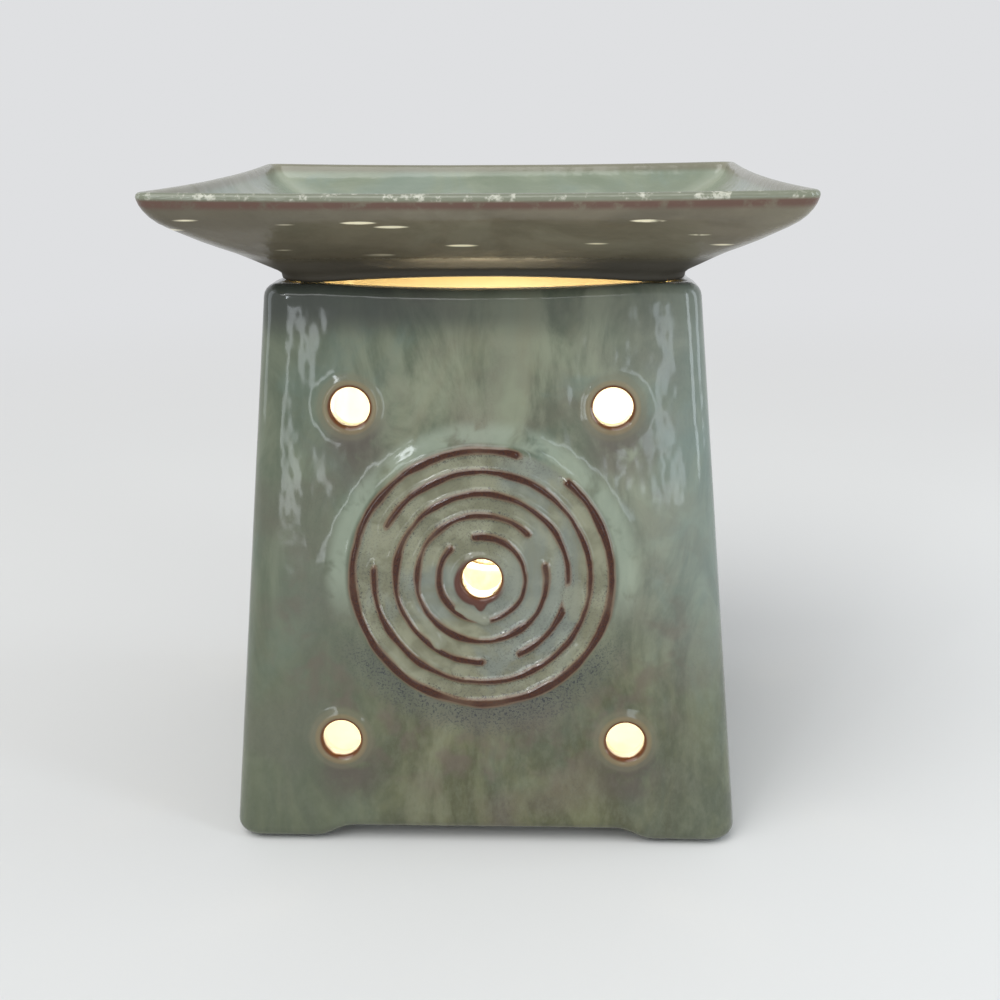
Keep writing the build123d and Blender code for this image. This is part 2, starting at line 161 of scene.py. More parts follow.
# Half width, level and corner radius of each of its outlines, from the underside's middle over the
# rim to the bowl's middle.
DISH_UNDER = [(16, 0, 4), (34, 0, 7), (44, 0, 8.5), (48.4, 0, 9)]
DISH_OUTSIDE = [
    (49.4, 0.1, 9), (49.85, 0.45, 9), (50, 1.0, 9), (50.1, 1.7, 9), (50.9, 2.5, 8.9),
    (53.2, 4.0, 8.4), (55.9, 5.8, 7.8), (58.8, 7.6, 7.2), (62.0, 9.3, 6.6), (65.0, 11.0, 6.0),
    (68.0, 12.9, 5.4), (70.3, 14.4, 4.9), (72.3, 15.9, 4.5), (73.7, 17.4, 4.1), (74.7, 18.9, 3.9),
    (75.3, 20.2, 3.7), (75.65, 21.4, 3.6), (75.75, 22.0, 3.6), (75.6, 22.6, 3.5), (75.15, 23.0, 3.4),
    (74.6, 23.15, 3.2),
]
DISH_INSIDE = [
    (73.9, 23.1, 2.9), (73.2, 22.75, 2.7), (72.7, 22.1, 2.6), (72.4, 21.2, 2.6), (71.6, 19.6, 2.8),
    (70.1, 18.0, 3.0), (67.4, 16.2, 3.4), (63.8, 14.3, 4.0), (59.8, 12.1, 4.6), (55.8, 9.7, 5.4),
    (51.8, 7.4, 6.2), (48.4, 5.8, 7.0), (45.0, 5.05, 7.6), (41.0, DISH_FLOOR, 7.6),
    (30.0, DISH_FLOOR, 6), (16.0, DISH_FLOOR, 4),
]


def soft(x, low=0.0, high=1.0):
    """0 at low, 1 at high, and a smooth rise between; low may be the larger."""
    x = min(max((x - low) / (high - low), 0.0), 1.0)
    return x * x * (3 - 2 * x)


def half_width(height):
    """Half the shell's outer width at a height over its own underside."""
    return BASE_HALF - (BASE_HALF - TOP_HALF) * height / BODY


def hollow_half(height):
    """Half the width of the hollow inside it."""
    low = half_width(FLOOR_TOP) - WALL_LOW
    return low + (TOP_HALF - WALL_RIM - low) * (height - FLOOR_TOP) / (BODY - FLOOR_TOP)


def height_at(t):
    """The height of a place on a side."""
    return RELIEF_HEIGHT + t * cos(LEAN)


def up_to(height):
    """How far up a side a height lies."""
    return (height - RELIEF_HEIGHT) / cos(LEAN)


OUTER_TOP = up_to(BODY) - SHOULDER * tan((pi / 2 - LEAN) / 2)
OUTER_LOW = up_to(0) + TOE * tan((pi / 2 + LEAN) / 2)
INNER_TOP = up_to(BODY - RIM_EDGE)
INNER_LOW = up_to(FLOOR_TOP)


def outer_edge(t):
    """Where the flat of a side ends and its upright corner begins."""
    return half_width(height_at(min(max(t, OUTER_LOW), OUTER_TOP))) - UPRIGHT


def inner_edge(t):
    """The same for the inside of the wall."""
    return hollow_half(height_at(t)) - HOLLOW_CORNER


def corner_hole(across, up):
    """The middle of a corner hole; across and up are 1 or -1."""
    spread = HOLE_SPREAD * half_width(height_at(up * HOLE_REACH)) / half_width(RELIEF_HEIGHT)
    return Vector((across * spread, up * HOLE_REACH))


CORNER_HOLES = [corner_hole(across, up) for across in (-1, 1) for up in (-1, 1)]


def ring_height(s, t):
    """How far a place stands on the crest of a ring: 1 on the crest, 0 off the ring."""
    r = hypot(s, t)
    turn = degrees(atan2(t, s)) % 360
    # The rings' course and width wander a little, as they do under thick glaze.
    r += 0.3 * noise.noise(Vector((s, t, 3.0)) * 0.16) + 0.12 * noise.noise(Vector((s, t, 9.0)) * 0.5)
    best = 0.0
    for radius, gap_start, gap_end in RINGS:
        if abs(r - radius) > 4:  # too far away to matter
            continue
        if gap_start < turn < gap_end:
            ends = (radians(gap_start), radians(gap_end))
            away = min(hypot(s - radius * cos(end), t - radius * sin(end)) for end in ends)
        else:
            away = abs(r - radius)
        wide = RING_HALF_OUTER if radius == RINGS[-1][0] else RING_HALF_INNER
        wide += 0.34 * noise.noise(Vector((s, t, 5.0)) * 0.13)
        best = max(best, soft((wide - away) / RING_EDGE))
    return best


def glaze_run(side, s, t):
    """How thick the glaze has run at a place: 1 in the middle of a run. Every side has its own runs."""
    place = Vector((s, t))
    best = 0.0
    for start, end, wide in RUNS:
        start, end = Vector(start), Vector(end)
        moved = Matrix.Rotation(2.0 * side, 2) @ start
        way = end - start
        share = min(max((place - moved).dot(way) / way.length_squared, 0), 1)
        away = (place - moved - way * share).length + 0.35 * noise.noise(Vector((s, t, 7.0)) * 0.4)
        best = max(best, soft(1.6 * (1 - away / (wide * (0.65 + 0.75 * share)))))
    return best * soft((RUN_REACH - place.length) / 2.5)


def relief(s, t):
    """The raised forms of one side: the height of a place, and what its glaze needs to know."""
    r = hypot(s, t)
    crest = ring_height(s, t)
    turn = degrees(atan2(t, s)) % 360
    # The lip round the middle hole is widest below left, with a drop under the hole.
    wide = LIP_REACH + 1.0 * soft(1 - abs(turn - 225) / 80) + 1.5 * soft(1 - abs(turn - 268) / 16)
    lip = soft((r - LIP_START) / 0.8) * soft((wide - r) / LIP_SLOPE)
    burnt = lip * (0.25 + 0.75 * soft(1.3 - abs(turn - 230) / 110))
    pad = soft((PAD_RADIUS - r) / PAD_SLOPE)
    away = min((Vector((s, t)) - hole).length for hole in CORNER_HOLES)
    collar = soft((COLLAR - away) / COLLAR_SLOPE)
    mouth = 1 - soft((min(away, r) - MOUTH) / MOUTH_SLOPE)
    # A stain spreads below each corner hole, a little to its right.
    stain = max(
        soft(1.25 - hypot((s - hole.x - 1.5) / 9, (t - hole.y + 8) / 11)) for hole in CORNER_HOLES
    )
    rise = pad * PAD_RISE + max(crest, lip) * RING_RISE + collar * COLLAR_RISE - mouth * MOUTH_DROP
    return rise, {
        "crest": crest, "lip": burnt, "collar": collar, "mouth": mouth, "stain": stain, "radius": r,
        "across": s, "level": t, "inside": 0.0,
    }


def outer_place(s, t, rise):
    """Wraps side coordinates round the front, its corners, the shoulder and the toe."""
    held = min(max(t, OUTER_LOW), OUTER_TOP)
    height = height_at(held)
    flat = half_width(height) - UPRIGHT
    turn = max(abs(s) - flat, 0.0) / UPRIGHT
    turn = turn if s > 0 else -turn
    across = min(max(s, -flat), flat) + UPRIGHT * sin(turn)
    point = Vector((across, -flat - UPRIGHT * cos(turn), FOOT + height))
    out = Vector((sin(turn) * cos(LEAN), -cos(turn) * cos(LEAN), sin(LEAN)))
    up = Vector((-sin(turn) * sin(LEAN), cos(turn) * sin(LEAN), cos(LEAN)))
    if t > OUTER_TOP:
        bend = (t - OUTER_TOP) / SHOULDER
        point += up * SHOULDER * sin(bend) - out * SHOULDER * (1 - cos(bend))
        out = out * cos(bend) + up * sin(bend)
    elif t < OUTER_LOW:
        bend = (OUTER_LOW - t) / TOE
        point -= up * TOE * sin(bend) + out * TOE * (1 - cos(bend))
        out = out * cos(bend) - up * sin(bend)
    return point + out * rise


def inner_place(s, t):
    """The same for the inside of the wall."""
    height = height_at(t)
    wall = half_width(height) - hollow_half(height)
    half = hollow_half(height) - HOLLOW_CORNER
    turn = max(abs(s) - half, 0.0) / HOLLOW_CORNER
    turn = turn if s > 0 else -turn
    across = min(max(s, -half), half) + HOLLOW_CORNER * sin(turn)
    return Vector((across, -half - HOLLOW_CORNER * cos(turn), FOOT + height - wall * sin(LEAN) * 0.9))


def octagon(turn):
    """The eight-sided seam round the rings, seen from their middle."""
    eighth = pi / 4
    number = floor(turn / eighth + 1e-6)
    ends = []
    for n in (number, number + 1):
        reach = SEAM_REACH if n % 2 == 0 else SEAM_CORNER * 2**0.5
        ends.append(Vector((reach * cos(n * eighth), reach * sin(n * eighth))))
    ray = Vector((cos(turn), sin(turn)))
    side = ends[1] - ends[0]
    return ray * (ends[0].cross(side) / ray.cross(side))


def ringed_patch(bm, seat, steps, middle, start, way, border, straight):
    """Adds a hole and the rings of faces round it, out to a border.

    The steps are circles round the middle, and the straight shares lie between the last of them
    and the border.
    """
    count = len(border)
    circle = bmesh.ops.create_circle(bm, cap_ends=False, segments=count, radius=1.0)["verts"]
    for number, v in enumerate(circle):
        v[seat] = number

    def put(verts, radius, share):
        for v in verts:
            turn = start + way * 2 * pi * v[seat] / count
            near = middle + Vector((radius * cos(turn), radius * sin(turn)))
            place = near.lerp(border[v[seat]], share)
            v.co = (place.x, place.y, 0)

    put(circle, steps[0], 0)
    rim = list({e for v in circle for e in v.link_edges})
    for radius in steps[1:]:
        rim, verts = grow(bm, rim)
        put(verts, radius, 0)
    for share in straight:
        rim, verts = grow(bm, rim)
        put(verts, steps[-1], share)


def grow(bm, rim):
    """Extrudes a rim of edges; gives the new rim and its vertices."""
    made = bmesh.ops.extrude_edge_only(bm, edges=rim)["geom"]
    verts = [g for g in made if isinstance(g, bmesh.types.BMVert)]
    fresh = set(verts)
    edges = {e for v in verts for e in v.link_edges if e.verts[0] in fresh and e.verts[1] in fresh}
    return list(edges), verts


def side_sheet(bm, edge, low, top, corner, fine):
    """One side in side coordinates: the rings' patch, four corner patches and half of each corner."""
    seat = bm.verts.layers.int.get("seat") or bm.verts.layers.int.new("seat")
    seam = [octagon(2 * pi * n / SEAM_STEPS) for n in range(SEAM_STEPS)]
    if fine:
        steps = list(MIDDLE_STEPS)
        for radius, *_ in RINGS:
            steps += [radius + off for off in RING_OFFSETS]
        steps += PAD_STEPS
        corner_steps = CORNER_STEPS
        straight = (0.16, 0.34, 0.54, 0.77, 1.0)
    else:
        steps = PLAIN_MIDDLE_STEPS
        corner_steps = PLAIN_CORNER_STEPS
        straight = (0.5, 1.0)
    ringed_patch(bm, seat, steps, Vector((0, 0)), 0.0, 1, seam, (0.5, 1.0))

    quarter = [octagon(2 * pi * n / SEAM_STEPS) for n in range(SEAM_STEPS // 4 + 1)]
    for up in (1, -1):
        end = top if up == 1 else low
        count = TOP_STEPS if up == 1 else LOW_STEPS
        right = Vector((edge(0), 0))
        far = Vector((edge(end), end))
        border = [Vector((p.x, p.y * up)) for p in quarter]
        for stop, parts in ((Vector((0, end)), MIDLINE_STEPS), (far, count), (right, EDGE_STEPS)):
            last = border[-1]
            border += [last.lerp(stop, n / parts) for n in range(1, parts + 1)]
        border += [right.lerp(border[0], 0.5)]
        middle = corner_hole(1, up)
        way = -up
        # The border's mean turn round the hole lines up the first vertices of both.
        turns = []
        for place in border:
            turn = atan2(place.y - middle.y, place.x - middle.x)
            while turns and turn - turns[-1] > pi:
                turn -= 2 * pi
            while turns and turn - turns[-1] < -pi:
                turn += 2 * pi
            turns.append(turn)
        start = sum(turn - way * 2 * pi * n / len(border) for n, turn in enumerate(turns)) / len(border)
        ringed_patch(bm, seat, corner_steps, middle, start, way, border, straight)
        flipped = [Vector((-p.x, p.y)) for p in border]
        middle = Vector((-middle.x, middle.y))
        ringed_patch(bm, seat, corner_steps, middle, pi - start, -way, flipped, straight)
    bmesh.ops.remove_doubles(bm, verts=bm.verts, dist=0.002)

    # The two corners, each to its middle.
    for across in (-1, 1):
        rim = [
            e for e in bm.edges
            if e.is_boundary and all(abs(across * v.co.x - edge(v.co.y)) < 0.01 for v in e.verts)
        ]
        for _ in range(CORNER_TURNS):
            rim, verts = grow(bm, rim)
            step = (across * corner * pi / 4 / CORNER_TURNS, 0, 0)
            bmesh.ops.translate(bm, verts=verts, vec=step)


def rims(bm, level):
    """The open edges that lie at one level of the side coordinates."""
    return [e for e in bm.edges if e.is_boundary and all(abs(v.co.y - level) < 0.01 for v in e.verts)]


def loops(bm):
    """The open rims of a mesh, each as a list of edges."""
    left = {e for e in bm.edges if e.is_boundary}
    found = []
    while left:
        rim = [left.pop()]
        for e in rim:
            for v in e.verts:
                for other in v.link_edges:
                    if other in left:
                        left.remove(other)
                        rim.append(other)
        found.append(rim)
    return found


def middle_of(rim):
    """The mean place of an open rim."""
    verts = {v for e in rim for v in e.verts}
    return sum((v.co for v in verts), Vector()) / len(verts)


def square_ray(turn, half, corner):
    """A rounded square's edge, seen from its middle."""
    ray = Vector((cos(turn), sin(turn)))
    reach = half / max(abs(ray.x), abs(ray.y))
    place = ray * reach
    inner = half - corner
    if min(abs(place.x), abs(place.y)) <= inner:
        return place
    centre = Vector((inner if ray.x > 0 else -inner, inner if ray.y > 0 else -inner))
    along = ray.dot(centre)
    return ray * (along + (along**2 - centre.length_squared + corner**2) ** 0.5)


def add_layers(bm, names):
    """Lets each vertex carry a number under each name, for its finish to read."""
    return {name: bm.verts.layers.float.new(name) for name in names}


def finish_piece(name, bm, body, slot, material, *nodes):
    """Makes a mesh in millimetres into a piece in metres that rides on a body."""
    bmesh.ops.scale(bm, vec=(MM, MM, MM), verts=bm.verts)
    mesh = bpy.data.meshes.new(name)
    bm.to_mesh(mesh)
    bm.free()
    mesh.shade_smooth()
    piece = bpy.data.objects.new(name, mesh)
    bpy.context.collection.objects.link(piece)
    mesh.materials.append(material)
    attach(piece, body)
    if nodes:
        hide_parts(*nodes)
    return piece


def add_outer_wall(bm, layers):
    """The front's outside, with its relief, half of each corner, the shoulder and the toe."""
    side_sheet(bm, outer_edge, OUTER_LOW, OUTER_TOP, UPRIGHT, True)
    for level, length, way in (
        (OUTER_TOP, SHOULDER * (pi / 2 - LEAN), 1),
        (OUTER_LOW, TOE * (pi / 2 + LEAN), -1),
    ):
        rim = rims(bm, level)
        for _ in range(BEND_STEPS):
            rim, verts = grow(bm, rim)
            bmesh.ops.translate(bm, verts=verts, vec=(0, way * length / BEND_STEPS, 0))
    for v in bm.verts:
        s, t = v.co.x, v.co.y
        rise, known = relief(s, t)
        for name, value in known.items():
            v[layers[name]] = value
        v.co = outer_place(s, t, rise)


def add_inner_wall(bm, layers):
    """The front's inside, plain but for its holes."""
    inner = bmesh.new()
    side_sheet(inner, inner_edge, INNER_LOW, INNER_TOP, HOLLOW_CORNER, False)
    for v in inner.verts:
        v.co = inner_place(v.co.x, v.co.y)
    spare = bpy.data.meshes.new("inner_wall")
    inner.to_mesh(spare)
    inner.free()
    before = set(bm.verts)
    bm.from_mesh(spare)
    bpy.data.meshes.remove(spare)
    for v in bm.verts:
        if v not in before:
            v[layers["inside"]] = 1.0
            v[layers["level"]] = up_to(v.co.z)


def add_tunnels(bm, layers):
    """Each light hole gets its tunnel through the wall."""
    holes = [rim for rim in loops(bm) if (middle_of(rim) - rim[0].verts[0].co).length < 6]
    outer_rims = [rim for rim in holes if rim[0].verts[0][layers["inside"]] == 0]
    inner_rims = [rim for rim in holes if rim[0].verts[0][layers["inside"]] == 1]
    for rim in outer_rims:
        partner = min(inner_rims, key=lambda other: (middle_of(other) - middle_of(rim)).length)
        bmesh.ops.bridge_loops(bm, edges=rim + partner)


def add_other_sides(bm, layers):
    """Turns copies of the front to the other three sides, then lets the glaze run on each."""
    front = list(bm.verts) + list(bm.edges) + list(bm.faces)
    for number in range(1, 4):
        copy = bmesh.ops.duplicate(bm, geom=front)["geom"]
        turned = [g for g in copy if isinstance(g, bmesh.types.BMVert)]
        matrix = Matrix.Rotation(number * pi / 2, 3, "Z")
        bmesh.ops.rotate(bm, verts=turned, cent=(0, 0, 0), matrix=matrix)
    bmesh.ops.remove_doubles(bm, verts=bm.verts, dist=0.003)
    for v in bm.verts:
        if v[layers["inside"]] == 0 and HOLE < v[layers["radius"]] < PAD_RADIUS:
            side = round((atan2(v.co.y, v.co.x) + pi / 2) / (pi / 2)) % 4
            run = glaze_run(side, v[layers["across"]], v[layers["level"]])
            v[layers["run"]] = run
            out = Matrix.Rotation(side * pi / 2, 3, "Z") @ Vector((0, -cos(LEAN), sin(LEAN)))
            v.co += out * run * (0.6 - 0.5 * v[layers["crest"]])


def close_rim(bm, inner_top, outer_top):
    """The rim's inner edge is rounded, then joined to the shoulder."""
    for out, up in ((0.25 * RIM_EDGE, 0.55), (0.75 * RIM_EDGE, 0.25)):
        inner_top, verts = grow(bm, inner_top)
        wider = 1 + out / (TOP_HALF - WALL_RIM)
        bmesh.ops.scale(bm, vec=(wider, wider, 1), verts=verts)
        bmesh.ops.translate(bm, vec=(0, 0, up), verts=verts)
    for v in {v for e in inner_top for v in e.verts}:
        v.co.z = FOOT + BODY
    bmesh.ops.bridge_loops(bm, edges=inner_top + outer_top)


def close_underside(bm, layers, outer_low, inner_low):
    """Under the shell: the skirt, the floor's underside, the hole for the nipple, and the floor."""
    rim = outer_low
    # Level and half size of each outline; those with a corner radius are square, the others round.
    steps = [
        (0, SKIRT_HALF + SKIRT_EDGE, SKIRT_CORNER), (SKIRT_EDGE, SKIRT_HALF, SKIRT_CORNER),
        (FLOOR_LOW, SKIRT_HALF, SKIRT_CORNER), (FLOOR_LOW, RECESS_HALF, SKIRT_CORNER),
        (FLOOR_LOW, UNDER_RING, None), (FLOOR_LOW, NIPPLE_HOLE, None),
        (FLOOR_TOP, NIPPLE_HOLE, None), (FLOOR_TOP, FLOOR_RING, None),
    ]
    for level, half, corner in steps:
        rim, verts = grow(bm, rim)
        for v in verts:
            turn = atan2(v.co.y, v.co.x)
            spot = square_ray(turn, half, corner) if corner else half * Vector((cos(turn), sin(turn)))
            v.co = (spot.x, spot.y, FOOT + level)
            v[layers["inside"]] = 0.5 if level < FLOOR_TOP else 1.0
    bmesh.ops.bridge_loops(bm, edges=rim + inner_low)


def bend_edges(bm):
    """Arches part the feet, and the rim dips between its corners."""
    for v in bm.verts:
        x, y, z = v.co
        if max(abs(x), abs(y)) > BEND_REACH:
            along = x if abs(y) > abs(x) else y
            lift = ARCH_RISE * soft((ARCH_FLAT + ARCH_SLOPE - abs(along)) / ARCH_SLOPE)
            # The lift fades out up the wall, and faster up the skirt, whose underside stays level.
            outside = z > FOOT + FLOOR_LOW + 0.01 or max(abs(x), abs(y)) > SKIRT_HALF + 1
            lift *= soft(z, *WALL_FADE) if outside else soft(z, *SKIRT_FADE)
            dip = RIM_DIP * max(1 - (along / RIM_DIP_HALF) ** 2, 0) * soft(z, *DIP_GROWTH)
            v.co.z += lift - dip


def housing_mesh():
    """The whole shell: the front, turned to the other sides, then closed above and below."""
    bm = bmesh.new()
    layers = add_layers(bm, (
        "crest", "lip", "collar", "mouth", "stain", "run", "radius", "across", "level", "inside",
    ))
    add_outer_wall(bm, layers)
    add_inner_wall(bm, layers)
    add_tunnels(bm, layers)
    add_other_sides(bm, layers)
    cut_inlet(bm)
    outer_low, inner_low, inner_top, outer_top = sorted(loops(bm), key=lambda rim: middle_of(rim).z)
    close_rim(bm, inner_top, outer_top)
    close_underside(bm, layers, outer_low, inner_low)
    bend_edges(bm)
    bmesh.ops.recalc_face_normals(bm, faces=bm.faces)
    return bm


def cut_inlet(bm):
    """Opens the back wall for the cord's bush: a round hole through both of its faces."""
    out = Vector((0, cos(LEAN), sin(LEAN)))
    up = Vector((0, -sin(LEAN), cos(LEAN)))
    ends = []
    for half in (half_width(INLET_HEIGHT), hollow_half(INLET_HEIGHT)):
        middle = Vector((0, half_width(INLET_HEIGHT), FOOT + INLET_HEIGHT))
        middle -= out * (half_width(INLET_HEIGHT) - half) * cos(LEAN)
        # The faces near the hole on this face of the wall, and none of the other.
        near = []
        for f in bm.faces:
            off = f.calc_center_median() - middle
            if off.length < INLET_CLEAR and abs(off.dot(out)) < INLET_SKIN:
                near.append(f)
        edges = {e for f in near for e in f.edges if any(other not in near for other in e.link_faces)}
        bmesh.ops.delete(bm, geom=near, context="FACES")
        rim = [e for e in edges if e.is_valid]
        for share in (0.5, 1.0):
            rim, verts = grow(bm, rim)
            for v in verts:
                place = v.co - middle
                turn = atan2(place.dot(up), place.x)
                mouth = middle + INLET * (cos(turn) * Vector((1, 0, 0)) + sin(turn) * up)
                v.co = v.co.lerp(mouth, share)
        ends += rim
    bmesh.ops.bridge_loops(bm, edges=ends)


def bowed_square(half, corner, bow):
    """One level of the dish: a square whose sides bow inwards, as places in order."""
    tilt = atan(2 * bow / half)
    seat = half - corner / cos(tilt) / (1 - tan(tilt))
    places = []
    for number in range(4):
        turn = Matrix.Rotation(number * pi / 2, 2)
        reach = seat - corner * sin(tilt)
        for n in range(SIDE_PLACES):
            x = -reach + 2 * reach * n / SIDE_PLACES
            places.append(turn @ Vector((x, -half + bow * (1 - (x / half) ** 2))))
        for n in range(TURN_PLACES):
            angle = -pi / 2 - tilt + (pi / 2 + 2 * tilt) * n / TURN_PLACES
            places.append(turn @ Vector((seat + corner * cos(angle), -seat + corner * sin(angle))))
    return places


def dish_mesh():
    """The dish, row by row from under its middle over the rim into the bowl, and its studs."""
    rows = [(h, z, c, 0.0) for h, z, c in DISH_UNDER + DISH_OUTSIDE]
    rows += [(h, z, c, 1.0) for h, z, c in DISH_INSIDE]
    bm = bmesh.new()
    layers = add_layers(bm, ("below", "inside", "crease_highlight"))
    seat = bm.verts.layers.int.new("seat")
    count = 4 * (SIDE_PLACES + TURN_PLACES)
    circle = bmesh.ops.create_circle(bm, cap_ends=True, segments=count, radius=1.0)["verts"]
    for number, v in enumerate(circle):
        v[seat] = number
    bmesh.ops.poke(bm, faces=bm.faces)
    verts = [v for v in bm.verts if v.co.length > 0.5]
    rim = [e for e in bm.edges if e.is_boundary]
    for v in bm.verts:
        if v.co.length < 0.5:
            v.co = (0, 0, DISH_Z)
    middle = DISH_HALF - DISH_BOW
    far = 2 * DISH_HALF**2
    for number, (half, level, corner, inner) in enumerate(rows):
        if number:
            rim, verts = grow(bm, rim)
        places = bowed_square(half, corner, DISH_BOW * half / DISH_HALF)
        for v in verts:
            x, y = places[v[seat]]
            share = min(max((x * x + y * y - middle**2) / (far - middle**2), 0), 1)
            # The rim dips between its corners, and less and less below it.
            dip = DISH_RIM_DIP * (1 - share) * soft(half, 66, 76) * soft(level, 12, 23)
            z = level - dip
            if not inner:
                lift = 0.0
                for along in (x, y):
                    lift = max(lift, DISH_ARCH * (1 - (along / DISH_ARCH_HALF) ** 2))
                z += lift * soft(level, DISH_ARCH_FADE, 0)
            v.co = (x, y, DISH_Z + z)
            v[layers["below"]] = level - DISH_HEIGHT if inner else DISH_HEIGHT - level
            v[layers["inside"]] = inner
            v[layers["crease_highlight"]] = soft(1 - abs(abs(x) - abs(y)) / 9)
    bmesh.ops.contextual_create(bm, geom=rim)
    top = [f for f in bm.faces if len(f.verts) > 10]
    poked = bmesh.ops.poke(bm, faces=top)
    for v in poked["verts"]:
        v[layers["inside"]] = 1.0
        v[layers["below"]] = DISH_FLOOR - DISH_HEIGHT
    bmesh.ops.recalc_face_normals(bm, faces=bm.faces)

    # Four studs under the corners keep the dish on the housing; their upper ends are in its floor.
    stud_middle = DISH_Z - STUD_DROP + STUD_DEPTH / 2
    for x in (-STUD_PLACE, STUD_PLACE):
        for y in (-STUD_PLACE, STUD_PLACE):
            stud = bmesh.ops.create_cone(
                bm, cap_ends=True, segments=32, radius1=STUD_TIP_RADIUS, radius2=STUD_RADIUS,
                depth=STUD_DEPTH, matrix=Matrix.Translation((x, y, stud_middle)),
            )["verts"]
            low = min(v.co.z for v in stud)
            edges = {
                e for v in stud for e in v.link_edges if all(abs(w.co.z - low) < 0.01 for w in e.verts)
            }
            bmesh.ops.bevel(
                bm, geom=list(edges), offset=STUD_EDGE, segments=3, affect="EDGES", profile=0.5,
                material=-1,
            )
    return bm


class Wire:
    """A number or colour on its way through a material; sums on it add the nodes they need."""

    def __init__(self, finish, socket):
        self.finish = finish
        self.socket = socket

    def sum(self, operation, *others):
        """Adds the node for one step of a sum."""
        return self.finish.node("ShaderNodeMath", {"operation": operation}, dict(enumerate(others)))

    def __add__(self, other):
        return self.sum("ADD", self, other)

    def __radd__(self, other):
        return self.sum("ADD", other, self)

    def __sub__(self, other):
        return self.sum("SUBTRACT", self, other)

    def __rsub__(self, other):
        return self.sum("SUBTRACT", other, self)

    def __mul__(self, other):
        return self.sum("MULTIPLY", self, other)

    def __rmul__(self, other):
        return self.sum("MULTIPLY", other, self)

    def __truediv__(self, other):
        return self.sum("DIVIDE", self, other)

    def __rtruediv__(self, other):
        return self.sum("DIVIDE", other, self)

    def soft(self, low, high):
        """0 at low, 1 at high, smooth between; low may be the larger."""
        inputs = {0: self, 1: low, 2: high, 3: 0.0, 4: 1.0}
        return self.finish.node("ShaderNodeMapRange", {"interpolation_type": "SMOOTHSTEP"}, inputs)


def colour(red, green, blue):
    """A colour as the eye reads it, 0 to 255, as the shader wants it."""
    return tuple((v / 255) ** 2.2 for v in (red, green, blue)) + (1.0,)


class Finish:
    """The nodes of a material or of the world, with short ways to add them."""

    def __init__(self, owner):
        self.owner = owner
        owner.use_nodes = True
        self.tree = owner.node_tree
        self.tree.nodes.clear()

    def node(self, kind, settings, inputs, output=0):
        """Adds a node, its settings first and then its inputs, and gives one of its outputs."""
        made = self.tree.nodes.new(kind)
        for name, value in settings.items():
            setattr(made, name, value)
        for name, value in inputs.items():
            if isinstance(value, Wire):
                self.tree.links.new(value.socket, made.inputs[name])
            else:
                made.inputs[name].default_value = value
        return Wire(self, made.outputs[output])

    def spot(self):
        """Object coordinates, in metres."""
        return self.node("ShaderNodeTexCoord", {}, {}, 3)

    def attribute(self, name):
        """The number that the mesh carries under a name."""
        return self.node("ShaderNodeAttribute", {"attribute_name": name}, {}, 2)

    def stretched(self, x, y, z):
        """Object coordinates in millimetres, scaled along each axis."""
        return self.node("ShaderNodeMapping", {}, {0: self.spot(), 3: (x / MM, y / MM, z / MM)})

    def axis(self, number):
        """One of the object coordinates, in millimetres."""
        return self.node("ShaderNodeSeparateXYZ", {}, {0: self.spot()}, number) / MM

    def noise(self, place, scale, detail=3.0, rough=0.55, bend=0.0):
        """Clouds from 0 to 1, about 0.5 on the whole."""
        return self.node("ShaderNodeTexNoise", {}, {0: place, 2: scale, 3: detail, 4: rough, 8: bend})

    def blend(self, mask, first, second):
        """The first colour where the mask is 0, the second where it is 1."""
        return self.node("ShaderNodeMix", {"data_type": "RGBA"}, {0: mask, 6: first, 7: second}, 2)

    def scatter(self, place, scale, size):
        """Round specks: 1 in the middle of a speck."""
        cells = self.node("ShaderNodeTexVoronoi", {}, {0: place, 2: scale})
        return cells.soft(size, size * 0.6)

    def bump(self, height, strength, distance):
        """Lets the light see small heights; the distance is in millimetres."""
        inputs = {"Strength": strength, "Distance": distance * MM, "Height": height}
        return self.node("ShaderNodeBump", {}, inputs)

    def surface(self, inputs):
        """Ends a material in an ordinary surface."""
        return self.end(self.node("ShaderNodeBsdfPrincipled", {}, inputs))

    def end(self, shader, kind="ShaderNodeOutputMaterial"):
        """Leads a shader to the output and gives the material or world."""
        made = self.tree.nodes.new(kind)
        self.tree.links.new(shader.socket, made.inputs[0])
        return self.owner


def new_finish(name):
    """The nodes of a new material."""
    return Finish(bpy.data.materials.new(name))


